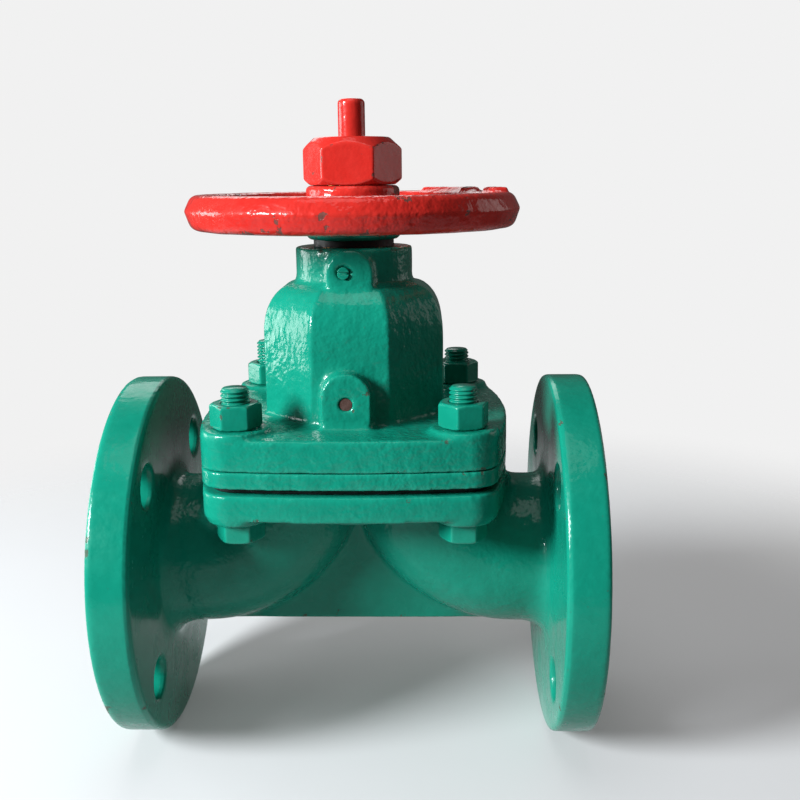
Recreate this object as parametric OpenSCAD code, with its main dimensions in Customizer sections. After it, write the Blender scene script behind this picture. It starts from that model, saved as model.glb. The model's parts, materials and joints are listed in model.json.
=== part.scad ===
// Weir-type flanged diaphragm valve, hand operated, rubber lined, shown open.
// Origin: where the flow axis (X) crosses the stem axis (Z). The outlet is at +X.

/* [Pipe flanges] */
// Distance between the two iron flange faces
face_to_face = 210; // [200:1:230]
// Outer diameter of a pipe flange
flange_d = 165; // [160:1:180]
// Thickness of a pipe flange
flange_t = 18; // [14:1:22]
// Bolt circle of a pipe flange
bolt_circle_d = 125; // [120:1:130]
// Diameter of a pipe flange's bolt holes
bolt_hole_d = 18; // [16:0.5:20]
// Fillet between a pipe flange and its port tube
flange_fillet_r = 7; // [3:1:9]

/* [Flow passage] */
// Bore inside the rubber lining
bore_d = 50; // [46:1:50]
// Thickness of the rubber lining
lining_t = 3; // [2:0.5:3]
// Wall of the iron port tubes
tube_wall = 6.5; // [5:0.5:7]
// Radius of a port tube's bend, on its centreline
bend_r = 42; // [40:1:46]
// Distance of the bend's centre from the stem axis
bend_x = 72; // [70:1:76]
// How far the cast tubes stand above their flanges' centre, outside only
tube_rise = 1.5; // [0:0.5:2]
// Height of the lined weir's lowest point above the flow axis
weir_z = 33; // [31:0.5:34]

/* [Flange stack] */
// Height of the body's top face, where the diaphragm is clamped
seat_z = 45.8; // [45:0.2:47]
// Thickness of the body's top flange
body_flange_t = 11.2; // [10:0.2:13]
// Thickness of the diaphragm's rim
rim_t = 2.8; // [2.5:0.1:4]
// Thickness of the support plate between diaphragm and bonnet
plate_t = 7.2; // [5:0.2:9]
// Thickness of the bonnet flange
bonnet_flange_t = 13.7; // [12:0.1:16]
// Half width of the flange stack along the flow, at the middle of a side
stack_half_x = 68.2; // [66:0.2:70]
// Half width of the flange stack across the flow
stack_half_y = 64.3; // [63:0.1:67]
// Radius of the bulged sides that face along the flow
side_r_x = 210; // [190:10:300]
// Radius of the bulged sides that face front and back
side_r_y = 440; // [400:10:600]
// Radius of the stack's corners
corner_r = 14; // [12:0.5:15]
// Distance between bonnet bolts, both ways
bolt_pitch = 94.4; // [93:0.2:96]

/* [Bonnet] */
// Width of the octagonal tower across its flats
tower_af = 79; // [77:0.5:82]
// Height where the tower's shoulder begins to dome
shoulder_z = 104.8; // [103:0.2:107]
// Height of the collar's foot
collar_z = 127.4; // [126:0.2:129]
// Height of the collar's top
neck_top_z = 143; // [142:0.5:144]
// Radius of the collar
collar_r = 26; // [25:0.5:27]

/* [Drive] */
// Outer diameter of the handwheel
wheel_d = 147; // [140:1:180]
// Underside of the wheel's rim
rim_z = 150.7; // [150.5:0.1:153]
// Height of the wheel's rim
rim_h = 15.2; // [14:0.2:17]
// Radial width of the wheel's rim
rim_w = 17; // [14:1:20]
// Number of spokes
spokes = 5; // [3:1:6]
// Top of the wheel's hub
hub_top_z = 169.3; // [168:0.1:171]
// Radius of the wheel's hub
hub_r = 20.8; // [19:0.2:22]
// Diameter of the threaded stem
stem_d = 11.8; // [11:0.2:12]
// Top of the stem, valve open
stem_top_z = 205.7; // [198:0.1:212]
// Full travel of the stem
travel = 16; // [12:1:16]

/* [Hidden] */
$fn = 96;

// Flow passage
lined_r = bore_d / 2;
iron_r = lined_r + lining_t;
tube_r = iron_r + tube_wall;
bend_z = bend_r;
face_x = face_to_face / 2;
// The outlet's bolt holes are this much wider, which keeps opposite holes two separate bores
outlet_hole_extra = 0.4;
facing_r = 50;
facing_t = 2;
roof_drop = 14.5;
dish_r = 36;
dish_depth = seat_z - weir_z;
dish_sphere_r = (dish_r * dish_r + dish_depth * dish_depth) / (2 * dish_depth);
dish_sphere_z = weir_z + dish_sphere_r;
weir_half = 9;
weir_shoulder_z = 24;
weir_foot_x = 29;
weir_foot_z = -12;
web_half = 6;
drum_r = 46;
drum_h = 8;

// Levels of the flange stack
body_flange_z = seat_z - body_flange_t;
ear_z = body_flange_z - 3;
plate_z = seat_z + rim_t;
bonnet_z = plate_z + plate_t;
bonnet_top_z = bonnet_z + bonnet_flange_t;
pad_top_z = bonnet_top_z + 2.3;
pad_r = 14.6;
rim_inset = 4;
open_r = 33;

// Bonnet bolts, M12
bolt_r = 6;
bolt_clear_r = 6.6;
bolt_head_af = 18;
bolt_head_h = 8.6;
nut_af = 19;
nut_h = 10.4;
// Corner signs of the four bolts, and how far each stands out of its nut
BOLTS = [[-1, -1, 6.2], [1, -1, 6.4], [-1, 1, 10.7], [1, 1, 6]];

// Compressor, guided by its wings
membrane_t = 4;
comp_r = 30;
comp_low_z = weir_z + travel + membrane_t;
comp_disc_top_z = comp_low_z + 13;
comp_sphere_r = dish_sphere_r - membrane_t;
boss_r = 11;
boss_top_z = comp_disc_top_z + 18;
rib_reach = 27;
wing_reach = 36;
wing_t = 8;
wing_low_z = bonnet_z + travel + 2.2;
slot_gap = 0.4;
stem_foot_z = comp_disc_top_z + 3;
pin_z = stem_foot_z + 7;
pin_r = 2;
stud_r = 4;
stud_head_r = 9;
stud_head_h = 2;
stud_l = 11;

// Drive parts inside the neck
stem_r = stem_d / 2;
thread_gap = 0.06;
sleeve_r = 12;
sleeve_inset = 1.2;
running_gap = 0.05;
loose_gap = 0.3;
bush_r = 15;
neck_low_z = 119;
washer_t = 2;
shoulder_r = 18;
shoulder_t = 6;
nut_foot_z = 101;
chamber_r = 33.5;
chamber_top_z = 106;
seal_minor_r = 1;
seal_z = neck_top_z - 5;
ring_r = 17.8;
ring_t = 2.95;
spacer_r = 20.8;
spacer_z = neck_top_z + 3;
spacer_top_z = 149.9;
cap_nut_af = 38;
cap_nut_h = 20.2;
cap_nut_turn = -2.5;
key_w = 5;
key_in = 2.5;
key_out = 2.4;

// Tower's shoulder
shoulder_run = 13;
shoulder_steps = 8;

// Arched bosses on the bonnet's front, with the depth of their screw and plug
screw_x = -2.6;
screw_z = 133.4;
screw_r = 2.6;
screw_tip_y = 13;
screw_head_y = 32;
slot_w = 0.8;
slot_depth = 1.2;
arch_half = 10.2;
arch_back_y = 18;
arch_y = 31;
plug_tip_y = 34.5;
plug_face_y = 45.7;
lug_back_y = 36;
plug_x = -1.5;
plug_z = 80.4;
plug_r = 2.6;
lug_half = 10.5;
lug_arch_z = 83;
lug_y = 46.5;

green = [0.10, 0.60, 0.47];
red = [0.80, 0.15, 0.12];
rubber_black = [0.08, 0.08, 0.09];
steel = [0.60, 0.61, 0.62];
bronze = [0.72, 0.52, 0.24];

// Points along an arc, angles in degrees
function arc(x, y, r, from, to, steps = 8) =
    [for (i = [0:steps]) let (a = from + (to - from) * i / steps) [x + r * cos(a), y + r * sin(a)]];

// ---- shared shapes ----

// Turns a shape about Z so that +Z points along +X
module along_x() {
    rotate([0, 90, 0]) children();
}

// Both ports: the shape as drawn at +X, and its mirror image
module both_ports() {
    children();
    mirror([1, 0, 0]) children();
}

// Centre of the corner arc that is tangent to both bulged sides, by repeated correction
function corner_centre(c, off_x, off_y, reach_x, reach_y, steps) = steps == 0 ? c :
    corner_centre([sqrt(reach_x ^ 2 - c[1] ^ 2) - off_x, sqrt(reach_y ^ 2 - c[0] ^ 2) - off_y],
        off_x, off_y, reach_x, reach_y, steps - 1);

// Square outline with bulged sides and round corners
module stack_outline(inset = 0) {
    r = corner_r - inset / 2;
    off_x = side_r_x - stack_half_x;
    off_y = side_r_y - stack_half_y;
    rx = side_r_x - inset;
    ry = side_r_y - inset;
    c = corner_centre([stack_half_x - r, stack_half_y - r], off_x, off_y, rx - r, ry - r, 8);
    ax = atan2(c[1], c[0] + off_x);
    ay = atan2(c[1] + off_y, c[0]);
    quarter = concat(arc(-off_x, 0, rx, 0, ax, 4), arc(c[0], c[1], r, ax + 8, ay - 8, 6),
        arc(0, -off_y, ry, ay, 90, 3));
    back = [for (i = [len(quarter) - 2:-1:0]) [-quarter[i][0], quarter[i][1]]];
    half = concat(quarter, back);
    polygon(concat(half, [for (i = [len(half) - 2:-1:1]) [half[i][0], -half[i][1]]]));
}

module stack_slab(low, high, inset = 0) {
    translate([0, 0, low]) linear_extrude(high - low) stack_outline(inset);
}

module at_bonnet_bolts() {
    for (sx = [-1, 1], sy = [-1, 1]) {
        translate([sx, sy] * bolt_pitch / 2) children();
    }
}

module bonnet_bolt_holes(low, high) {
    translate([0, 0, low]) at_bonnet_bolts() cylinder(h = high - low, r = bolt_clear_r);
}

// A straight tube and its bend up to the stem axis, for the port at +X
module port_tube(r, end_x) {
    translate([bend_x, 0, 0]) along_x() cylinder(h = end_x - bend_x, r = r);
    translate([bend_x, 0, bend_z]) rotate([90, 0, 0])
        rotate([0, 0, 180]) rotate_extrude(angle = 90) translate([bend_r, 0]) circle(r);
}

// Weir between the ports; skin is how far the surface stands inside the lining
module weir(skin) {
    half = weir_half - skin;
    foot_x = weir_foot_x - skin;
    foot_z = weir_foot_z - skin;
    rotate([90, 0, 0]) linear_extrude(2 * drum_r, center = true)
        polygon([[-foot_x, foot_z - 20], [foot_x, foot_z - 20], [foot_x, foot_z],
            [half, weir_shoulder_z], [half, seat_z + 1], [-half, seat_z + 1],
            [-half, weir_shoulder_z], [-foot_x, foot_z]]);
}

// The whole passage, from port to port and open at the top; skin as in weir()
module passage(skin) {
    r = lined_r + skin;
    roof_z = seat_z - roof_drop - (lining_t - skin);
    intersection() {
        union() {
            difference() {
                intersection() {
                    both_ports() port_tube(r, face_x + facing_t + 1);
                    union() {
                        translate([-2 * face_x, -drum_r, -drum_r])
                            cube([4 * face_x, 2 * drum_r, roof_z + drum_r]);
                        cylinder(h = seat_z + 1, r = dish_r + skin);
                    }
                }
                weir(skin);
            }
            translate([0, 0, dish_sphere_z]) sphere(dish_sphere_r + skin);
        }
        translate([-2 * face_x, -drum_r, -drum_r])
            cube([4 * face_x, 2 * drum_r, drum_r + seat_z + 0.01]);
    }
}

// Hexagonal prism with both ends chamfered, with flats facing front and back
module hex_block(af, h, low_r, low_h, high_r, high_h) {
    corner = af / sqrt(3);
    intersection() {
        cylinder(h = h, r = corner, $fn = 6);
        rotate_extrude() polygon([[0, 0], [low_r, 0], [corner + 0.1, low_h],
            [corner + 0.1, h - high_h], [high_r, h], [0, h]]);
    }
}

// ---- valve casing ----

module pipe_flange(hole_d) {
    root_x = face_x - flange_t;
    r = flange_d / 2;
    rim_chamfer = 1;
    along_x() difference() {
        rotate_extrude() polygon(concat(
            [[0, root_x - flange_fillet_r], [tube_r, root_x - flange_fillet_r]],
            arc(tube_r + flange_fillet_r, root_x - flange_fillet_r, flange_fillet_r, 180, 90),
            [[r - rim_chamfer, root_x], [r, root_x + rim_chamfer], [r, face_x - rim_chamfer],
                [r - rim_chamfer, face_x], [0, face_x]]));
        for (a = [45:90:315]) {
            rotate(a) translate([bolt_circle_d / 2, 0, root_x - 1])
                cylinder(h = flange_t + 2, r = hole_d / 2);
        }
    }
}

module body() {
    color(green) difference() {
        union() {
            pipe_flange(bolt_hole_d + outlet_hole_extra);
            mirror([1, 0, 0]) pipe_flange(bolt_hole_d);
            both_ports() intersection() {
                translate([0, 0, tube_rise]) port_tube(tube_r, face_x - 1);
                translate([-2 * face_x, -drum_r, -drum_r])
                    cube([4 * face_x, 2 * drum_r, drum_r + body_flange_z + 1]);
            }
            translate([-bend_x, -web_half, tube_rise - tube_r])
                cube([2 * bend_x, 2 * web_half, tube_r + body_flange_z - tube_rise + 1]);
            cylinder_between(body_flange_z - drum_h + 1, body_flange_z + 1, drum_r);
            stack_slab(body_flange_z, seat_z);
            translate([0, 0, ear_z]) at_bonnet_bolts()
                cylinder(h = body_flange_z - ear_z + 1, r = corner_r);
        }
        passage(lining_t);
        bonnet_bolt_holes(ear_z - 1, seat_z + 1);
    }
}

module body_lining() {
    color(rubber_black) difference() {
        union() {
            intersection() {
                passage(lining_t);
                translate([-face_x, -drum_r, -drum_r])
                    cube([2 * face_x, 2 * drum_r, drum_r + seat_z]);
            }
            both_ports() translate([face_x, 0, 0]) along_x() cylinder(h = facing_t, r = facing_r);
        }
        passage(0);
    }
}

// ---- diaphragm ----

module diaphragm() {
    low_z = comp_low_z - membrane_t;
    flat_r = 12;
    roll_r = open_r - 4;
    color(rubber_black) difference() {
        union() {
            difference() {
                stack_slab(seat_z, plate_z, rim_inset);
                translate([0, 0, seat_z - 1]) cylinder(h = rim_t + 2, r = open_r - 1);
            }
            rotate_extrude() polygon([[0, low_z], [flat_r, low_z], [roll_r, seat_z + 0.4],
                [open_r, seat_z], [open_r, plate_z], [roll_r, plate_z], [flat_r, comp_low_z],
                [0, comp_low_z]]);
        }
        bonnet_bolt_holes(seat_z - 1, plate_z + 1);
        cylinder_between(comp_low_z - stud_head_h, comp_low_z + 1, stud_head_r);
    }
}

// Steel insert moulded into the diaphragm, screwed into the compressor
module diaphragm_stud() {
    color(steel) {
        cylinder_between(comp_low_z - stud_head_h, comp_low_z, stud_head_r);
        cylinder_between(comp_low_z - 1, comp_low_z + stud_l, stud_r);
    }
}

// ---- compressor ----

module compressor() {
    color(green) difference() {
        union() {
            intersection() {
                translate([0, 0, comp_low_z - 1])
                    cylinder(h = comp_disc_top_z - comp_low_z + 1, r = comp_r);
                translate([0, 0, comp_low_z + comp_sphere_r]) sphere(comp_sphere_r);
            }
            cylinder_between(comp_disc_top_z - 1, boss_top_z, boss_r);
            translate([-rib_reach, -wing_t / 2, comp_disc_top_z - 1])
                cube([2 * rib_reach, wing_t, boss_top_z - comp_disc_top_z + 1]);
            intersection() {
                cylinder_between(wing_low_z, boss_top_z, wing_reach);
                translate([-wing_reach, -wing_t / 2, wing_low_z])
                    cube([2 * wing_reach, wing_t, boss_top_z - wing_low_z]);
            }
        }
        cylinder_between(comp_low_z - 1, comp_low_z + stud_l, stud_r);
        cylinder_between(stem_foot_z, boss_top_z + 1, stem_r);
        translate([0, 0, pin_z]) rotate([90, 0, 0])
            cylinder(h = 2 * boss_r + 2, r = pin_r, center = true);
    }
}

module compressor_pin() {
    color(steel) translate([0, 0, pin_z]) rotate([90, 0, 0])
        cylinder(h = 2 * boss_r - 1, r = pin_r, center = true);
}

module cylinder_between(low, high, r) {
    translate([0, 0, low]) cylinder(h = high - low, r = r);
}

module ring(low, high, inner_r, outer_r) {
    difference() {
        cylinder_between(low, high, outer_r);
        cylinder_between(low - 1, high + 1, inner_r);
    }
}

// ---- bonnet ----

module support_plate() {
    color(green) difference() {
        stack_slab(plate_z, bonnet_z);
        cylinder_between(plate_z - 1, bonnet_z + 1, open_r);
        bonnet_bolt_holes(plate_z - 1, bonnet_z + 1);
    }
}

// One pair of opposite faces of the tower with its domed shoulder
module tower_slice(turn) {
    half = tower_af / 2;
    rise = collar_z - shoulder_z;
    rotate(turn) rotate([90, 0, 0]) linear_extrude(2 * tower_af, center = true)
        polygon(concat([[-half, bonnet_z], [half, bonnet_z], [half, shoulder_z]],
            [for (p = shoulder_points(half, rise)) p],
            [for (p = mirror_points(shoulder_points(half, rise))) p],
            [[-half, shoulder_z]]));
}

// Shoulder from the flat up to the collar's foot, a superellipse: nearly upright, then turning in
function shoulder_points(half, rise) = [for (i = [1:shoulder_steps])
    let (up = sin(90 * i / shoulder_steps), in = 1 - (1 - up ^ 2.3) ^ (1 / 1.8))
    [half - shoulder_run * in, shoulder_z + rise * up]];

function mirror_points(points) =
    [for (i = [len(points) - 1:-1:0]) [-points[i][0], points[i][1]]];

// Block with an arched top, standing out of the bonnet's front to y = -reach
module front_arch(x, half, low, arch_z, back, reach) {
    translate([x, -back, 0]) rotate([90, 0, 0]) linear_extrude(reach - back) {
        translate([-half, low]) square([2 * half, arch_z - low]);
        translate([0, arch_z]) circle(half);
    }
}

module bonnet_chamber() {
    rotate_extrude() polygon([[0, bonnet_z - 1], [chamber_r, bonnet_z - 1],
        [chamber_r, chamber_top_z], [shoulder_r + 2, neck_low_z],
        [0, neck_low_z]]);
    intersection() {
        cylinder_between(bonnet_z - 1, boss_top_z + 3, wing_reach + slot_gap);
        translate([-tower_af / 2, -wing_t / 2 - slot_gap, bonnet_z - 1])
            cube([tower_af, wing_t + 2 * slot_gap, boss_top_z + 4 - bonnet_z]);
    }
}

module bonnet() {
    color(green) difference() {
        union() {
            stack_slab(bonnet_z, bonnet_top_z);
            translate([0, 0, bonnet_top_z - 1]) at_bonnet_bolts()
                cylinder(h = pad_top_z - bonnet_top_z + 1, r = pad_r);
            intersection() {
                tower_slice(0);
                tower_slice(45);
                tower_slice(90);
                tower_slice(135);
            }
            cylinder_between(collar_z - 1, neck_top_z, collar_r);
            front_arch(0, arch_half, collar_z - 4, neck_top_z - arch_half, arch_back_y, arch_y);
            front_arch(plug_x, lug_half, bonnet_top_z - 1, lug_arch_z, lug_back_y, lug_y);
        }
        bonnet_chamber();
        cylinder_between(neck_low_z - 1, neck_top_z + 1, bush_r);
        bonnet_bolt_holes(bonnet_z - 1, pad_top_z + 1);
        translate([screw_x, 0, screw_z]) rotate([90, 0, 0]) cylinder(h = collar_r + 14, r = screw_r);
        translate([plug_x, 0, plug_z]) rotate([90, 0, 0]) cylinder(h = lug_y + 1, r = plug_r);
    }
}

module bonnet_bush() {
    color(bronze) difference() {
        ring(neck_low_z, neck_top_z, sleeve_r + running_gap, bush_r);
        translate([screw_x, 0, screw_z]) rotate([90, 0, 0]) cylinder(h = collar_r + 14, r = screw_r);
    }
}

// Keeps the bush from turning
module collar_set_screw() {
    color(green) difference() {
        translate([screw_x, -screw_tip_y, screw_z]) rotate([90, 0, 0])
            cylinder(h = screw_head_y - screw_tip_y, r = screw_r);
        translate([screw_x - screw_r - 1, -screw_head_y - 0.1, screw_z - slot_w / 2])
            cube([2 * screw_r + 2, slot_depth + 0.1, slot_w]);
    }
}

// Closes the hole that would show a torn diaphragm
module tell_tale_plug() {
    color([0.45, 0.25, 0.20])
        translate([plug_x, -plug_tip_y, plug_z]) rotate([90, 0, 0])
            cylinder(h = plug_face_y - plug_tip_y, r = plug_r);
}

// ---- stem and drive ----

module stem() {
    tip = 1.2;
    color(red) difference() {
        rotate_extrude() polygon([[0, stem_foot_z], [stem_r, stem_foot_z],
            [stem_r, stem_top_z - tip], [stem_r - tip, stem_top_z], [0, stem_top_z]]);
        translate([0, 0, pin_z]) rotate([90, 0, 0])
            cylinder(h = 4 * stem_r, r = pin_r, center = true);
    }
}

module stem_nut() {
    washer_z = neck_low_z - washer_t;
    color(bronze) difference() {
        union() {
            cylinder_between(nut_foot_z, hub_top_z + cap_nut_h - sleeve_inset, sleeve_r);
            cylinder_between(washer_z - shoulder_t, washer_z - running_gap, shoulder_r);
        }
        cylinder_between(nut_foot_z - 1, stem_top_z, stem_r + thread_gap);
        ring(seal_z - seal_minor_r - 0.1, seal_z + seal_minor_r + 0.1,
            sleeve_r - 2 * seal_minor_r, sleeve_r + 1);
        translate([-key_w / 2, sleeve_r - key_in, spacer_top_z])
            cube([key_w, key_in + 1, hub_top_z - spacer_top_z]);
    }
}

module grease_seal() {
    color(rubber_black) translate([0, 0, seal_z]) rotate_extrude()
        translate([sleeve_r - seal_minor_r, 0]) circle(seal_minor_r);
}

module lower_thrust_washer() {
    color(bronze) ring(neck_low_z - washer_t, neck_low_z, sleeve_r + loose_gap, shoulder_r);
}

module upper_thrust_ring() {
    color(rubber_black) ring(neck_top_z, neck_top_z + ring_t, sleeve_r + loose_gap, ring_r);
}

module wheel_spacer() {
    bevel = 1.4;
    color(green) difference() {
        rotate_extrude() polygon([[0, spacer_z], [spacer_r - bevel, spacer_z],
            [spacer_r, spacer_z + bevel], [spacer_r, spacer_top_z], [0, spacer_top_z]]);
        cylinder_between(spacer_z - 1, spacer_top_z + 1, sleeve_r);
    }
}

// Rim section: flat top and bottom, faces drafted from the parting line, round corners
module rim_section() {
    outer = wheel_d / 2;
    mid = rim_z + 0.55 * rim_h;
    top = rim_z + rim_h;
    c = 4.5;
    draft = 1.6;
    inner = outer - rim_w;
    polygon(concat([[outer, mid]],
        arc(outer - draft - c, top - c, c, 20, 90),
        arc(inner + draft + c, top - c, c, 90, 160),
        [[inner, mid]],
        arc(inner + draft + c, rim_z + c, c, 200, 270),
        arc(outer - draft - c, rim_z + c, c, 270, 340)));
}

module spoke() {
    spoke_w = 13;
    spoke_t = 8;
    mid = rim_z + rim_h / 2;
    translate([sleeve_r + 4, 0, mid]) along_x()
        linear_extrude(wheel_d / 2 - rim_w / 2 - sleeve_r - 4) {
            square([spoke_t, spoke_w - spoke_t], center = true);
            for (s = [-1, 1]) {
                translate([0, s * (spoke_w - spoke_t) / 2]) circle(spoke_t / 2);
            }
        }
}

module handwheel() {
    color(red) difference() {
        union() {
            rotate_extrude() rim_section();
            rotate_extrude() polygon([[0, spacer_top_z], [hub_r - 1, spacer_top_z],
                [hub_r, spacer_top_z + 1], [hub_r, hub_top_z - 1.5], [hub_r - 1.5, hub_top_z],
                [0, hub_top_z]]);
            for (i = [0:spokes - 1]) {
                rotate(90 + i * 360 / spokes) spoke();
            }
        }
        cylinder_between(spacer_top_z - 1, hub_top_z + 1, sleeve_r);
        translate([-key_w / 2, 0, spacer_top_z - 1])
            cube([key_w, sleeve_r + key_out, hub_top_z - spacer_top_z + 2]);
    }
}

module wheel_key() {
    color(steel) translate([-key_w / 2, sleeve_r - key_in, spacer_top_z])
        cube([key_w, key_in + key_out, hub_top_z - spacer_top_z]);
}

module handwheel_nut() {
    color(red) difference() {
        translate([0, 0, hub_top_z]) rotate(cap_nut_turn)
            hex_block(cap_nut_af, cap_nut_h, low_r = 18.7, low_h = 2.7, high_r = 16.4, high_h = 5.1);
        cylinder_between(hub_top_z - 1, stem_top_z, sleeve_r);
    }
}

// ---- bonnet fasteners ----

module bonnet_bolts() {
    color(green) for (b = BOLTS) {
        translate([b[0] * bolt_pitch / 2, b[1] * bolt_pitch / 2, 0]) {
            rotate_extrude() polygon([[0, ear_z - 1], [bolt_r, ear_z - 1],
                [bolt_r, pad_top_z + nut_h + b[2] - 1], [bolt_r - 1, pad_top_z + nut_h + b[2]],
                [0, pad_top_z + nut_h + b[2]]]);
            translate([0, 0, ear_z - bolt_head_h])
                hex_block(bolt_head_af, bolt_head_h, low_r = 8.8, low_h = 0.9, high_r = 10.5, high_h = 0.01);
        }
    }
}

module bonnet_nuts() {
    turns = [5.7, 15.7, 12, -3];
    color(green) for (i = [0:3]) {
        translate([BOLTS[i][0] * bolt_pitch / 2, BOLTS[i][1] * bolt_pitch / 2, pad_top_z])
            rotate(turns[i]) difference() {
                hex_block(nut_af, nut_h, low_r = 9.6, low_h = 0.8, high_r = 9.4, high_h = 0.9);
                translate([0, 0, -1]) cylinder(h = nut_h + 2, r = bolt_r);
            }
    }
}

body();
body_lining();
diaphragm();
diaphragm_stud();
compressor();
compressor_pin();
support_plate();
bonnet();
bonnet_bush();
stem();
stem_nut();
grease_seal();
lower_thrust_washer();
upper_thrust_ring();
wheel_spacer();
handwheel();
handwheel_nut();
wheel_key();
bonnet_bolts();
bonnet_nuts();
collar_set_screw();
tell_tale_plug();
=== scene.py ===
"""Looks of the diaphragm valve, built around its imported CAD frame. Lengths are in metres."""
import json
import math

import bpy
import numpy as np
from mathutils import Matrix, Vector, noise

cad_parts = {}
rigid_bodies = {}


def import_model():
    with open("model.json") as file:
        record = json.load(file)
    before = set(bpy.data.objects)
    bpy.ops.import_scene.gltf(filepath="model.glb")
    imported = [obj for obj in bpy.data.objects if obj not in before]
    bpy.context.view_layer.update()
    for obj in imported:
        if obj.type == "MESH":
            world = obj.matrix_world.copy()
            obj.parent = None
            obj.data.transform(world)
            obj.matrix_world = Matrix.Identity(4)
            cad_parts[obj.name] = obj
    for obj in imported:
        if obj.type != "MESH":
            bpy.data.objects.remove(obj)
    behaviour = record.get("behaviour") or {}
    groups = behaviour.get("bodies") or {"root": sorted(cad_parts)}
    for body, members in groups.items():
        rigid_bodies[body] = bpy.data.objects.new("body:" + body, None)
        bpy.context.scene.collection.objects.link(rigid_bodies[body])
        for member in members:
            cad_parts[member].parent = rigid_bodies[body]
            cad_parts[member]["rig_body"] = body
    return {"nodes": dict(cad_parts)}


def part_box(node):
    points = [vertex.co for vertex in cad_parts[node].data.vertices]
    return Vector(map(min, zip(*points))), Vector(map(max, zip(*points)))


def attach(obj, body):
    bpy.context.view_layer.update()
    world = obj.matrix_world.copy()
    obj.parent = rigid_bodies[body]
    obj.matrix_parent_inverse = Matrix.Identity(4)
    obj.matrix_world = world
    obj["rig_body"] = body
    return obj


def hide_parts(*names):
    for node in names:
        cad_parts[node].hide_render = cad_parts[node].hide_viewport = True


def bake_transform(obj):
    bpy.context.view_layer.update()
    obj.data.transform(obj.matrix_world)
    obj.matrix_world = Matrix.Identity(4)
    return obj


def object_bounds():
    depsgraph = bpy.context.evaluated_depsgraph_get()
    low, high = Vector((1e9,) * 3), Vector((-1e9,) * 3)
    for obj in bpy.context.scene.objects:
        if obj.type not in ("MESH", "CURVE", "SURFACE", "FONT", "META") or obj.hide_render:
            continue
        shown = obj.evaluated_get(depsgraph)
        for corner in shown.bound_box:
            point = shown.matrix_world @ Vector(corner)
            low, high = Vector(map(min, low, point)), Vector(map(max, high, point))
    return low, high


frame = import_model()
cad_low, cad_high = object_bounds()

MM = 0.001


# ---------------------------------------------------------------- node materials


class Finish:
    """A node material, with short calls for the nodes that feed its Principled shader."""

    def __init__(self, name, **constants):
        self.material = bpy.data.materials.new(name)
        self.material.use_nodes = True
        self.tree = self.material.node_tree
        self.shader = self.tree.nodes["Principled BSDF"]
        self.place = self.add("ShaderNodeTexCoord").outputs["Object"]
        self.normal = None
        for socket, value in constants.items():
            self.shader.inputs[socket.replace("_", " ")].default_value = value

    def add(self, kind, inputs=None, **settings):
        """A node with its settings, and its inputs linked or set."""
        made = self.tree.nodes.new(kind)
        for name, value in settings.items():
            setattr(made, name, value)
        for name, value in (inputs or {}).items():
            self.feed(made.inputs[name], value)
        return made

    def feed(self, socket, value):
        """Links a socket to the input, or sets the input to a value."""
        if isinstance(value, bpy.types.NodeSocket):
            self.tree.links.new(value, socket)
        else:
            socket.default_value = value

    def noise(self, size, detail=2.0, roughness=0.5, stretch=(1, 1, 1)):
        """Smooth noise, about 0.5, with lumps of the given size."""
        scale = tuple(s / size for s in stretch)
        moved = self.add("ShaderNodeMapping", {"Vector": self.place, "Scale": scale})
        made = self.add(
            "ShaderNodeTexNoise",
            {"Vector": moved.outputs[0], "Scale": 1.0, "Detail": detail, "Roughness": roughness},
        )
        return made.outputs["Fac"]

    def cells(self, size):
        """Distance from the nearest of points scattered a given size apart, as a share of it."""
        made = self.add("ShaderNodeTexVoronoi", {"Vector": self.place, "Scale": 1 / size})
        return made.outputs["Distance"]

    def span(self, value, low, high, to_low=0.0, to_high=1.0):
        """Goes smoothly from to_low to to_high as the value goes from low to high."""
        ends = {"From Min": low, "From Max": high, "To Min": to_low, "To Max": to_high}
        made = self.add(
            "ShaderNodeMapRange", {"Value": value, **ends}, interpolation_type="SMOOTHSTEP"
        )
        return made.outputs["Result"]

    def sums(self, operation, a, b=0.0, clamp=False):
        """The result of a Math node."""
        made = self.add("ShaderNodeMath", {0: a, 1: b}, operation=operation, use_clamp=clamp)
        return made.outputs[0]

    def mix(self, share, a, b):
        """Colour a, going to colour b as share goes from 0 to 1."""
        inputs = {0: share, 6: colour(a), 7: colour(b)}
        return self.add("ShaderNodeMix", inputs, data_type="RGBA").outputs[2]

    def axis(self, letter):
        parts = self.add("ShaderNodeSeparateXYZ", {"Vector": self.place})
        return parts.outputs[letter]

    def edge(self):
        """The mesh's "edge" value: from -1 in a hollow corner to 1 on a sharp edge, 0 where the
        mesh has none."""
        return self.add("ShaderNodeAttribute", attribute_name="edge").outputs["Fac"]

    def relief(self, height, depth):
        """Adds bump of a given depth to what there is."""
        inputs = {"Height": height, "Distance": depth, "Strength": 1.0}
        if self.normal is not None:
            inputs["Normal"] = self.normal
        self.normal = self.add("ShaderNodeBump", inputs).outputs["Normal"]

    def finish(self, base, roughness):
        """Feeds the shader, and gives the material."""
        self.feed(self.shader.inputs["Base Color"], base)
        self.feed(self.shader.inputs["Roughness"], roughness)
        if self.normal is not None:
            self.feed(self.shader.inputs["Normal"], self.normal)
            self.feed(self.shader.inputs["Coat Normal"], self.normal)
        return self.material


def colour(value):
    """Linear RGBA of a colour given as sRGB numbers from 0 to 255. A socket stays as it is."""
    if isinstance(value, bpy.types.NodeSocket):
        return value
    shares = [v / 255 for v in value]
    linear = [s / 12.92 if s <= 0.04045 else ((s + 0.055) / 1.055) ** 2.4 for s in shares]
    return (*linear, 1.0)


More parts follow.
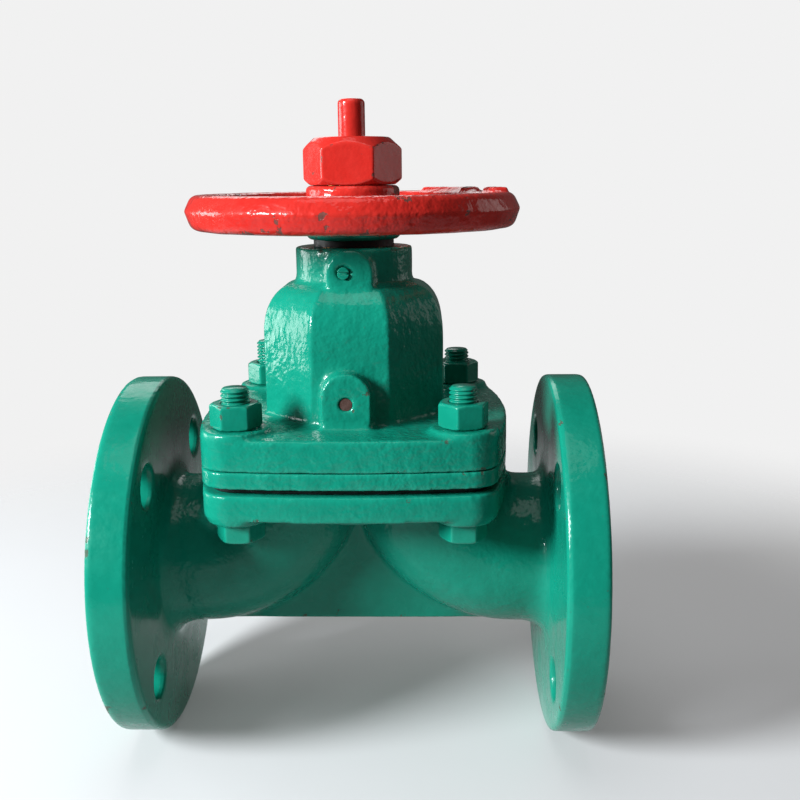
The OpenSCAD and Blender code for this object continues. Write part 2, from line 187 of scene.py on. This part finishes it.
def turned_skin(f, turned_from):
    """How rough the body's skin is, from its distance along x: 1 on the cast faces, nearly smooth
    on the turned back of a pipe flange, and between the two on the flange's rim."""
    beyond = f.sums("ABSOLUTE", f.axis("X"))
    back = f.span(beyond, turned_from - 0.6 * MM, turned_from + 0.6 * MM, to_low=1.0, to_high=0.06)
    rim = f.span(beyond, turned_from + 2.6 * MM, turned_from + 4 * MM, to_high=0.5)
    return f.sums("ADD", back, rim)


def enamel(name, body, thin, darker_and_shade, under, grain, chips, coat=0.38, turned_from=None):
    """Glossy brush enamel on a sand casting: thin over edges, painted shade darkening the hollows,
    chipped to what is under it. grain scales the casting's texture. The lower chips is, the more
    paint is off."""
    f = Finish(
        name, Specular_IOR_Level=0.12, Coat_Weight=coat, Coat_Roughness=0.05, Coat_IOR=1.36
    )
    edge = f.edge()
    skin = 1.0 if turned_from is None else turned_skin(f, turned_from)

    clouds = f.noise(38 * MM, detail=3.0)
    mottle = f.noise(6 * MM, detail=4.0, roughness=0.6)
    base = f.mix(f.span(clouds, 0.3, 0.6, to_low=0.55), darker_and_shade, body)
    base = f.mix(f.span(mottle, 0.4, 0.75, to_high=0.3), base, thin)
    base = f.mix(f.span(edge, 0.1, 0.9, to_high=0.4), base, thin)
    # Painted shade: hollow corners are darkened towards the darker tone.
    base = f.mix(f.span(edge, -0.1, -0.9, to_high=0.35), base, darker_and_shade)

    specks = f.span(f.cells(5.5 * MM), 0.02, 0.09, to_low=1.0, to_high=0.0)
    specks = f.sums("MULTIPLY", specks, f.span(f.noise(11 * MM, detail=1.0), 0.5, 0.62))
    base = f.mix(f.sums("MULTIPLY", specks, 0.35), base, under)

    knocks = f.noise(9 * MM, detail=5.0, roughness=0.65)
    knocks = f.sums("ADD", knocks, f.span(edge, 0.0, 1.0, to_high=0.1))
    chipped = f.span(knocks, chips, chips + 0.012)
    base = f.mix(f.sums("MULTIPLY", chipped, 0.85), base, under)

    patches = f.span(f.noise(26 * MM), 0.35, 0.65, to_low=0.6)
    sandy = f.sums("MULTIPLY", patches, skin)
    grains = ((8 * MM, 0.7, skin), (2.6 * MM, 0.55, sandy), (1.1 * MM, 0.12, sandy))
    for size, depth, where in grains:
        f.relief(f.sums("MULTIPLY", f.noise(size, detail=1.0), where), depth * grain * MM)
    f.relief(f.sums("SUBTRACT", 1.0, chipped), 0.12 * MM)

    gloss = f.span(f.noise(14 * MM, detail=3.0), 0.3, 0.7, to_low=0.18, to_high=0.32)
    gloss = f.sums("ADD", gloss, f.sums("MULTIPLY", chipped, 0.35), clamp=True)
    return f.finish(base, gloss)


def rubber(name, body, dusty):
    """Moulded rubber: matt, finely pitted, with pale bloom."""
    f = Finish(name, Specular_IOR_Level=0.35)
    bloom = f.span(f.noise(13 * MM, detail=4.0, roughness=0.65), 0.42, 0.75)
    base = f.mix(f.sums("MULTIPLY", bloom, 0.55), body, dusty)
    base = f.mix(f.span(f.noise(0.7 * MM), 0.55, 0.8, to_high=0.35), base, dusty)
    f.relief(f.noise(0.8 * MM, detail=3.0, roughness=0.6), 0.12 * MM)
    f.relief(f.noise(6 * MM), 0.25 * MM)
    return f.finish(base, f.span(bloom, 0.0, 1.0, to_low=0.48, to_high=0.72))


def bare_metal(name, body, stained, grease, gloss):
    """Machined metal with fine turning marks, stains and a film of grease."""
    f = Finish(name, Metallic=1.0)
    stains = f.span(f.noise(8 * MM, detail=5.0, roughness=0.6), 0.42, 0.72)
    base = f.mix(f.sums("MULTIPLY", stains, 0.7), body, stained)
    film = f.span(f.noise(17 * MM, detail=3.0), 0.52, 0.66)
    base = f.mix(f.sums("MULTIPLY", film, 0.5), base, grease)
    turning = f.noise(0.35 * MM, detail=1.0, roughness=0.4, stretch=(0.04, 0.04, 1))
    f.relief(turning, 0.02 * MM)
    f.relief(f.noise(1.2 * MM, detail=3.0), 0.03 * MM)
    return f.finish(base, f.span(stains, 0.0, 1.0, to_low=gloss, to_high=gloss + 0.22))


def primed_iron(name, body, rust):
    """Grey iron under thin matt primer, rusting through in places."""
    f = Finish(name)
    rusty = f.span(f.noise(7 * MM, detail=6.0, roughness=0.65), 0.52, 0.68)
    base = f.mix(f.noise(20 * MM, detail=3.0), body, tuple(v * 0.8 for v in body))
    base = f.mix(f.sums("MULTIPLY", rusty, 0.8), base, rust)
    f.relief(f.noise(2.2 * MM, detail=4.0, roughness=0.6), 0.35 * MM)
    return f.finish(base, f.span(rusty, 0.0, 1.0, to_low=0.55, to_high=0.85))


# Each paint's darker tone clouds it at random, and is also painted into hollows as shade.
GREEN = {"body": (9, 114, 94), "thin": (18, 126, 105), "darker_and_shade": (5, 101, 82), "under": (62, 66, 54)}
RED = {"body": (172, 34, 28), "thin": (186, 48, 41), "darker_and_shade": (146, 24, 21), "under": (72, 56, 50)}
# A pipe flange is turned from its face to just behind its back.
TURNED_DEPTH = 19.5 * MM
turned_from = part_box("body")[1].x - TURNED_DEPTH

materials = {
    "body": enamel(
        "green_body", **GREEN, grain=0.5, chips=0.735, coat=0.2, turned_from=turned_from
    ),
    "casting": enamel("green_casting", **GREEN, grain=0.78, chips=0.735),
    "fastener": enamel("green_fasteners", **GREEN, grain=0.2, chips=0.71),
    "red": enamel("red_enamel", **RED, grain=0.75, chips=0.655),
    "red_smooth": enamel("red_nut", **RED, grain=0.3, chips=0.675),
    "rubber": rubber("rubber_lining", (22, 23, 24), (52, 53, 52)),
    "diaphragm": rubber("rubber_diaphragm", (15, 16, 17), (44, 45, 46)),
    "ring": rubber("black_ring", (12, 16, 16), (30, 44, 42)),
    "iron": primed_iron("iron_primed", (96, 70, 62), rust=(110, 52, 30)),
    "plug": primed_iron("primed_plug", (70, 42, 34), rust=(50, 36, 30)),
    "steel": bare_metal("bright_steel", (172, 172, 168), (112, 104, 94), (70, 62, 44), gloss=0.24),
    "bronze": bare_metal("bronze", (198, 142, 74), (132, 84, 46), (84, 64, 34), gloss=0.26),
}


def wear(piece, finish):
    """The piece shows this material alone."""
    piece.data.materials.clear()
    piece.data.materials.append(materials[finish])
    for face in piece.data.polygons:
        face.material_index = 0


# ---------------------------------------------------------------- work on meshes


def settled(values, pairs, passes):
    """Values at a mesh's points, one row each, after a number of smoothing passes. A pass moves
    each halfway to the mean of its neighbours."""
    count = len(values)
    degree = np.bincount(pairs.ravel(), minlength=count)[:, None]
    for _ in range(passes):
        total = np.empty_like(values)
        for k in range(values.shape[1]):
            total[:, k] = np.bincount(pairs[:, 0], values[pairs[:, 1], k], count)
            total[:, k] += np.bincount(pairs[:, 1], values[pairs[:, 0], k], count)
        values = 0.5 * values + 0.5 * total / degree
    return values


def mesh_points(mesh):
    points = np.empty(len(mesh.vertices) * 3)
    mesh.vertices.foreach_get("co", points)
    return points.reshape(-1, 3)


def mesh_normals(mesh):
    normals = np.empty(len(mesh.vertices) * 3)
    mesh.vertex_normals.foreach_get("vector", normals)
    return normals.reshape(-1, 3)


def mesh_pairs(mesh):
    """The two points of every edge."""
    pairs = np.empty(len(mesh.edges) * 2, int)
    mesh.edges.foreach_get("vertices", pairs)
    return pairs.reshape(-1, 2)


def set_points(mesh, points):
    mesh.vertices.foreach_set("co", points.astype(np.float32).ravel())
    mesh.update()


def evaluated(piece, kind, **settings):
    """The piece takes the mesh that one modifier makes of it."""
    modifier = piece.modifiers.new(kind.lower(), kind)
    for name, value in settings.items():
        setattr(modifier, name, value)
    graph = bpy.context.evaluated_depsgraph_get()
    mesh = bpy.data.meshes.new_from_object(piece.evaluated_get(graph), depsgraph=graph)
    piece.modifiers.clear()
    piece.data = mesh


def together(*parts):
    """Several (points, faces) as one."""
    points, faces = [], []
    for more, sides in parts:
        faces += [[k + len(points) for k in side] for side in sides]
        points += more
    return points, faces


def new_piece(name, points, faces, finish, slot):
    """A piece made straight from points and faces, smooth, with its material; its slot is not used.
    """
    mesh = bpy.data.meshes.new(name)
    mesh.from_pydata([tuple(p) for p in points], [], faces)
    mesh.validate()
    mesh.shade_smooth()
    piece = bpy.data.objects.new(name, mesh)
    bpy.context.scene.collection.objects.link(piece)
    wear(piece, finish)
    return piece


# ---------------------------------------------------------------- castings

# A cast piece with more triangles than this is decimated to it. The export takes up to
# 200,000 triangles a piece.
STL_TRIANGLES = 196_000
LUMP_SIZE = 11 * MM
# How far a point on an edge that counts as sharp stands out of the surface around it, in voxels
SHARP_EDGE = 0.22
# Hollow corners are filled in rounds. Filling sets in over a range of depth, in voxels, which
# starts at a share of itself. Smoothing passes and a gain spread it beyond the hollow.
FILLET_ROUNDS = 2
HOLLOW_RANGE, HOLLOW_START = 0.04, 0.4
HOLLOW_SPREAD, HOLLOW_GAIN = 12, 3


def bulges(mesh, pairs, passes):
    """How far each point stands out of the surface around it."""
    points = mesh_points(mesh)
    out = ((points - settled(points, pairs, 8)) * mesh_normals(mesh)).sum(1)
    return settled(out[:, None], pairs, passes)[:, 0]


def filled(points, pairs, bulge, voxel, passes):
    """Points after smoothing passes that act in and around hollow corners only."""
    hollow = np.clip(-bulge / (HOLLOW_RANGE * voxel) - HOLLOW_START, 0, 1)
    share = np.clip(HOLLOW_GAIN * settled(hollow[:, None], pairs, HOLLOW_SPREAD), 0, 1)
    return points + (settled(points, pairs, passes) - points) * share


def lumpy(points, normals, depth):
    """Points sunk by up to the given depth, unevenly, as in a sand mould."""
    rough = np.array([noise.noise(Vector(p) / LUMP_SIZE) for p in points])
    return points - normals * (depth * (0.5 + 0.5 * rough))[:, None]


def cast(
    node, finish, voxel, rounding, lump=0.0, sculpt=None, raised=None, cutter=None, fillet=0
):
    """Stands for a CAD node: the same shape as foundry and paint leave it, with its edges rounded,
    its corners filled and its faces a little uneven. rounding is a number of smoothing passes,
    lump is how deep the unevenness is, sculpt changes the points, raised is (points, faces) that
    are cast on, cutter is taken out, and fillet is how many more passes fill hollow corners."""
    piece = bpy.data.objects.new(node + "_cast", frame["nodes"][node].data.copy())
    bpy.context.scene.collection.objects.link(piece)
    evaluated(piece, "WELD", merge_threshold=1e-6)
    if raised is not None:
        faces = [list(f.vertices) for f in piece.data.polygons]
        points, faces = together((mesh_points(piece.data).tolist(), faces), raised)
        piece.data = bpy.data.meshes.new(piece.data.name)
        piece.data.from_pydata(points, [], faces)
    if cutter is not None:
        evaluated(piece, "BOOLEAN", object=cutter, operation="DIFFERENCE", solver="EXACT")
    evaluated(piece, "REMESH", mode="VOXEL", voxel_size=voxel)

    mesh = piece.data
    pairs = mesh_pairs(mesh)
    points = settled(mesh_points(mesh), pairs, rounding)
    if sculpt is not None:
        points = sculpt(points)
    set_points(mesh, points)
    bulge_passes = 6 if fillet else 2
    bulge = bulges(mesh, pairs, bulge_passes)
    for _ in range(FILLET_ROUNDS if fillet else 0):
        points = filled(points, pairs, bulge, voxel, fillet)
        set_points(mesh, points)
        bulge = bulges(mesh, pairs, bulge_passes)
    if lump:
        set_points(mesh, lumpy(points, mesh_normals(mesh), lump))

    edge = mesh.attributes.new("edge", "FLOAT", "POINT")
    share = np.clip(bulge / (SHARP_EDGE * voxel), -1, 1)
    edge.data.foreach_set("value", share.astype(np.float32))
    triangles = sum(len(f.vertices) - 2 for f in mesh.polygons)
    if triangles > STL_TRIANGLES:
        evaluated(piece, "DECIMATE", ratio=STL_TRIANGLES / triangles)
    piece.data.shade_smooth()
    wear(piece, finish)
    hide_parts(node)
    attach(piece, frame["nodes"][node]["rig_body"])


# The top of the wheel's rim, below its hub's, and the circle that the arrow is raised on
RIM_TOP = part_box("handwheel")[1].z - 3.4 * MM
ARROW_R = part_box("handwheel")[1].x - 8.2 * MM
ARROW_RISE = 2 * MM


def raised_band(half_widths, start, end, steps):
    """A band raised on the wheel's rim from one angle to another in degrees, as (points, faces).
    half_widths are at its start and its end."""
    low, high = RIM_TOP - ARROW_RISE, RIM_TOP + ARROW_RISE
    points, faces = [], []
    for i in range(steps + 1):
        share = i / steps
        angle = math.radians(start + (end - start) * share)
        half = half_widths[0] + (half_widths[1] - half_widths[0]) * share
        for r, z in ((-half, low), (half, low), (half, high), (-half, high)):
            points.append(((ARROW_R + r) * math.cos(angle), (ARROW_R + r) * math.sin(angle), z))
    for i in range(steps):
        for k in range(4):
            a, b = 4 * i + k, 4 * i + (k + 1) % 4
            faces.append([a, b, b + 4, a + 4])
    last = 4 * steps
    return points, faces + [[3, 2, 1, 0], [last, last + 1, last + 2, last + 3]]


def closing_arrow():
    """Plain arrow and three bars raised on the wheel's rim, which show the way to turn it."""
    shaft = raised_band((1.5 * MM, 1.5 * MM), 62, 38, steps=10)
    head = raised_band((4.6 * MM, 0.3 * MM), 38, 29, steps=4)
    bars = [raised_band((3.8 * MM, 3.8 * MM), a, a + 3.2, steps=2) for a in (4, 10, 16)]
    return together(shaft, head, *bars)


# The bonnet's four M12 bolts stand STUD_OUT from the middle each way. HEAD_HALF is half a head's
# width across its flats, and STUD_CORE is the radius left inside the thread.
HEAD_HALF = 9 * MM
STUD_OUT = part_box("bonnet_bolts")[1].y - HEAD_HALF
STUDS = [(x * STUD_OUT, y * STUD_OUT) for x in (-1, 1) for y in (-1, 1)]
STUD_CORE = 4.7 * MM
STUD_LOWERED = 0.8 * MM
NUT_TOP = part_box("bonnet_nuts")[1].z
THREAD_R, THREAD_PITCH, THREAD_DEPTH, THREAD_CHAMFER = 6 * MM, 1.75 * MM, 0.95 * MM, 1.1 * MM
PAINT_LUMP = 3 * MM


def near(points, x, y):
    """Which points belong to the stud that stands at x, y."""
    return np.hypot(points[:, 0] - x, points[:, 1] - y) < HEAD_HALF


def thread_room(points):
    """Slims and lowers the studs above their nuts, to make room for their threads."""
    for x, y in STUDS:
        away = points[:, :2] - (x, y)
        share = np.minimum(1.0, STUD_CORE / np.maximum(np.hypot(*away.T), 1e-6))[:, None]
        here = near(points, x, y) & (points[:, 2] > NUT_TOP - 2 * MM)
        points[here, :2] = (np.array((x, y)) + away * share)[here]
        points[here, 2] -= STUD_LOWERED
    return points


def stud_thread(x, y, low, high, phase):
    """The threaded end of a stud, its grooves half filled with paint, as (points, faces). phase is
    where the thread starts, in turns."""
    around, step = 56, THREAD_PITCH / 10
    rows = math.ceil((high - low) / step)
    points, faces = [], []
    for i in range(rows + 1):
        z = min(low + i * step, high)
        for k in range(around):
            angle = 2 * math.pi * k / around
            turns = (z - low) / THREAD_PITCH - k / around + phase
            groove = (0.5 - 0.5 * math.cos(2 * math.pi * turns)) ** 1.3
            out = Vector((math.cos(angle), math.sin(angle), 0))
            paint = 0.85 + 0.4 * noise.noise((Vector((x, y, z)) + out * THREAD_R) / PAINT_LUMP)
            chamfer = THREAD_R - THREAD_CHAMFER + (high - z)
            r = min(THREAD_R - THREAD_DEPTH * paint * groove, chamfer)
            points.append((x + r * out.x, y + r * out.y, z))
    for i in range(rows):
        for k in range(around):
            a, b = i * around + k, i * around + (k + 1) % around
            faces.append([a, b, b + around, a + around])
    points += [(x, y, low), (x, y, high + 0.05 * MM)]
    last = rows * around
    for k in range(around):
        faces.append([(k + 1) % around, k, len(points) - 2])
        faces.append([last + k, last + (k + 1) % around, len(points) - 1])
    return points, faces


# Node, finish, voxel size, smoothing passes and depth of the unevenness
cast("body", "body", 1.2 * MM, 2, 0.04 * MM, fillet=14)
cast("bonnet", "casting", 0.8 * MM, 4, 0.25 * MM, fillet=12)
cast("support_plate", "casting", 0.75 * MM, 3, 0.15 * MM)
cast("handwheel", "red", 0.75 * MM, 4, 0.25 * MM, raised=closing_arrow(), fillet=16)
cast("handwheel_nut", "red_smooth", 0.5 * MM, 3)
cast("stem", "red_smooth", 0.5 * MM, 3)
cast("compressor", "iron", 0.8 * MM, 4, 0.2 * MM)
cast("bonnet_nuts", "fastener", 0.4 * MM, 3)
cast("bonnet_bolts", "fastener", 0.45 * MM, 3, sculpt=thread_room)
cast("wheel_spacer", "fastener", 0.5 * MM, 3)
cast("collar_set_screw", "fastener", 0.22 * MM, 3, fillet=60)

bolt_points = mesh_points(frame["nodes"]["bonnet_bolts"].data)
threads = []
for k, (x, y) in enumerate(STUDS):
    tip = bolt_points[near(bolt_points, x, y), 2].max()
    threads.append(stud_thread(x, y, NUT_TOP - 1.5 * MM, tip, phase=0.3 * k))
stud_threads = new_piece("stud_threads", *together(*threads), "fastener", "green_fasteners")
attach(stud_threads, frame["nodes"]["bonnet_bolts"]["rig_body"])


# ---------------------------------------------------------------- diaphragm

# It is made of a clamped rim, a middle that goes up and down with the compressor, and between them
# twelve sectors, each curved along its own radius.
SECTORS = 12
RIM_R, HUB_R = 31 * MM, 13 * MM
HUB_THICKNESS = 4 * MM
# The weir's round dish, and how far above it the closed diaphragm stops
DISH_R, DISH_GAP = 49 * MM, 0.1 * MM
# A lathed outline keeps this far off its axis, in mm or as a share of its radius.
OFF_AXIS = 0.001

rim_low, rim_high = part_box("diaphragm")[0].z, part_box("support_plate")[0].z
hub_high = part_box("diaphragm")[1].z
hub_low = hub_high - HUB_THICKNESS


def dish(r):
    """How far the round dish of the weir, which the membrane closes on, rises at a radius."""
    return DISH_R - math.sqrt(DISH_R**2 - r**2) + DISH_GAP


def membrane(r):
    """The membrane's lower and upper face at a radius."""
    share = min(max((RIM_R - r) / (RIM_R - HUB_R), 0), 1)
    share = share * share * (3 - 2 * share)
    low = rim_low + (hub_low + dish(HUB_R) - rim_low) * share
    return low, rim_high + (hub_high - rim_high) * share


def lathe(profile):
    """A closed outline of (radius, height) points turned about the Z axis."""
    sides, rows = 96, len(profile)
    points, faces = [], []
    for k in range(sides):
        angle = 2 * math.pi * k / sides
        points += [(r * math.cos(angle), r * math.sin(angle), z) for r, z in profile]
    for k in range(sides):
        a, b = k * rows, (k + 1) % sides * rows
        faces += [[a + i, b + i, b + (i + 1) % rows, a + (i + 1) % rows] for i in range(rows)]
    return points, faces


def membrane_sector(start, end):
    """The membrane from hub to rim between two angles, closed all round."""
    steps_r, steps_a = 16, 8
    points, faces = [], []
    for i in range(steps_r + 1):
        r = HUB_R + (RIM_R - HUB_R) * i / steps_r
        for k in range(steps_a + 1):
            angle = start + (end - start) * k / steps_a
            points += [(r * math.cos(angle), r * math.sin(angle), z) for z in membrane(r)]

    def wall(*corners):
        faces.append([2 * (i * (steps_a + 1) + k) + upper for i, k, upper in corners])

    for i in range(steps_r):
        for k in range(steps_a):
            wall((i, k, 0), (i, k + 1, 0), (i + 1, k + 1, 0), (i + 1, k, 0))
            wall((i, k, 1), (i + 1, k, 1), (i + 1, k + 1, 1), (i, k + 1, 1))
        wall((i, 0, 0), (i + 1, 0, 0), (i + 1, 0, 1), (i, 0, 1))
        wall((i, steps_a, 1), (i + 1, steps_a, 1), (i + 1, steps_a, 0), (i, steps_a, 0))
    for k in range(steps_a):
        wall((0, k, 1), (0, k + 1, 1), (0, k + 1, 0), (0, k, 0))
        wall((steps_r, k, 0), (steps_r, k + 1, 0), (steps_r, k + 1, 1), (steps_r, k, 1))
    return points, faces


below, above = rim_low - 5 * MM, hub_high + 5 * MM
plug = lathe([(OFF_AXIS * MM, below), (RIM_R, below), (RIM_R, above), (OFF_AXIS * MM, above)])
cutter = new_piece("middle_cutter", *plug, "diaphragm", "rubber_diaphragm")
cast("diaphragm", "diaphragm", 0.8 * MM, 2, cutter=cutter)
bpy.data.objects.remove(cutter)

lift_body = frame["nodes"]["compressor"]["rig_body"]
for k in range(SECTORS):
    start, end = 2 * math.pi * k / SECTORS, 2 * math.pi * (k + 1) / SECTORS
    shape = membrane_sector(start, end)
    sector = new_piece(f"diaphragm_sector_{k}", *shape, "diaphragm", "rubber_diaphragm")
    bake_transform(sector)

# The middle has the dished face below, and a pocket above for the steel insert.
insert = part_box("diaphragm_stud")
pocket = insert[1].x + 0.1 * MM
radii = [HUB_R * (OFF_AXIS + (1 - OFF_AXIS) * k / 8) for k in range(9)]
outline = [(r, hub_low + dish(r)) for r in radii]
outline += [(HUB_R, hub_high), (pocket, hub_high), (pocket, insert[0].z), (radii[0], insert[0].z)]
hub = new_piece("diaphragm_middle", *lathe(outline), "diaphragm", "rubber_diaphragm")
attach(hub, lift_body)


# ---------------------------------------------------------------- machined and moulded parts

for node, slot, finish in (
    ("body_lining", "rubber_lining", "rubber"),
    ("diaphragm_stud", "bright_steel", "steel"),
    ("compressor_pin", "bright_steel", "steel"),
    ("bonnet_bush", "bronze", "bronze"),
    ("stem_nut", "bronze", "bronze"),
    ("grease_seal", "black_ring", "ring"),
    ("lower_thrust_washer", "bright_steel", "steel"),
    ("upper_thrust_ring", "black_ring", "ring"),
    ("wheel_key", "bright_steel", "steel"),
    ("tell_tale_plug", "primed_plug", "plug"),
):
    wear(frame["nodes"][node], finish)


# ---------------------------------------------------------------- floor, light and camera

# The floor is square, and fades out between two distances from the origin.
HALF_FLOOR = 0.9
FADE_FROM, FADE_TO = 0.28, 0.62

# Name, place, diameter, watts and colour of each lamp. All point at the valve's middle.
LAMPS = (
    ("window", (-1.1, -0.71, 0.58), 0.5, 56, (0.94, 0.98, 1.0)),
    ("overhead", (-0.1, -0.3, 1.5), 1.0, 5.5, (1, 1, 1)),
    ("left", (-1.25, 0.36, 0.16), 0.7, 10, (0.96, 0.99, 1.0)),
    ("right", (1.2, 0.45, 0.45), 0.9, 2.4, (1.0, 0.98, 0.95)),
    ("back", (-0.3, 1.3, 1.0), 0.9, 5.0, (1, 1, 1)),
)
# The studio's own faint light, and the backdrop that the camera sees
SKY_COLOUR, SKY_STRENGTH = (1.0, 0.99, 0.97, 1), 0.085
BACKDROP = (0.88, 0.88, 0.88, 1)

CAMERA_PLACE = (0.0318, -0.4522, 0.1727)
CAMERA_LENS = 45.3  # mm, on a sensor 36 mm wide
# In degrees: to the left of +Y, down from level, and about the line of sight
CAMERA_TURN, CAMERA_DOWN, CAMERA_ROLL = 1.52, 12.52, -0.6


def floor_material():
    """Pale paper that fades into the backdrop well away from the valve."""
    f = Finish("floor_paper", Specular_IOR_Level=0.1, Emission_Strength=0.1)
    f.feed(f.shader.inputs["Emission Color"], (1.0, 1.0, 1.0, 1.0))
    away = f.add("ShaderNodeVectorMath", {0: f.place}, operation="LENGTH").outputs["Value"]
    f.feed(f.shader.inputs["Alpha"], f.span(away, FADE_FROM, FADE_TO, to_low=1.0, to_high=0.0))
    f.relief(f.noise(20 * MM), 0.05 * MM)
    base = f.mix(f.noise(400 * MM, detail=3.0), (184, 184, 185), (176, 177, 179))
    return f.finish(base, 0.8)


corner_signs = ((-1, -1), (1, -1), (1, 1), (-1, 1))
corners = [(x * HALF_FLOOR, y * HALF_FLOOR, cad_low.z) for x, y in corner_signs]
floor_mesh = bpy.data.meshes.new("floor")
floor_mesh.from_pydata(corners, [], [(0, 1, 2, 3)])
floor = bpy.data.objects.new("floor", floor_mesh)
bpy.context.scene.collection.objects.link(floor)
floor_mesh.materials.append(floor_material())

middle = (cad_low + cad_high) / 2
for name, place, diameter, watts, tint in LAMPS:
    lamp = bpy.data.lights.new(name, "AREA")
    lamp.shape = "DISK"
    lamp.size = diameter
    lamp.energy = watts
    lamp.color = tint
    stand = bpy.data.objects.new(name, lamp)
    bpy.context.scene.collection.objects.link(stand)
    stand.location = place
    stand.rotation_euler = (middle - Vector(place)).to_track_quat("-Z", "Y").to_euler()

world = bpy.data.worlds.new("studio")
bpy.context.scene.world = world
world.use_nodes = True
nodes, links = world.node_tree.nodes, world.node_tree.links
sky = nodes["Background"]
sky.inputs["Color"].default_value = SKY_COLOUR
sky.inputs["Strength"].default_value = SKY_STRENGTH
seen = nodes.new("ShaderNodeBackground")
seen.inputs["Color"].default_value = BACKDROP
ray = nodes.new("ShaderNodeLightPath")
either = nodes.new("ShaderNodeMixShader")
links.new(ray.outputs["Is Camera Ray"], either.inputs[0])
links.new(sky.outputs[0], either.inputs[1])
links.new(seen.outputs[0], either.inputs[2])
links.new(either.outputs[0], nodes["World Output"].inputs["Surface"])

camera = bpy.data.objects.new("camera", bpy.data.cameras.new("camera"))
bpy.context.scene.collection.objects.link(camera)
camera.data.sensor_width = 36
camera.data.lens = CAMERA_LENS
camera.data.clip_start = 10 * MM
turn = Matrix.Rotation(math.radians(CAMERA_TURN), 4, "Z")
pitch = Matrix.Rotation(math.radians(90 - CAMERA_DOWN), 4, "X")
roll = Matrix.Rotation(math.radians(CAMERA_ROLL), 4, "Z")
camera.matrix_world = Matrix.Translation(CAMERA_PLACE) @ turn @ pitch @ roll
bpy.context.scene.camera = camera
bpy.context.scene.view_settings.view_transform = "Standard"
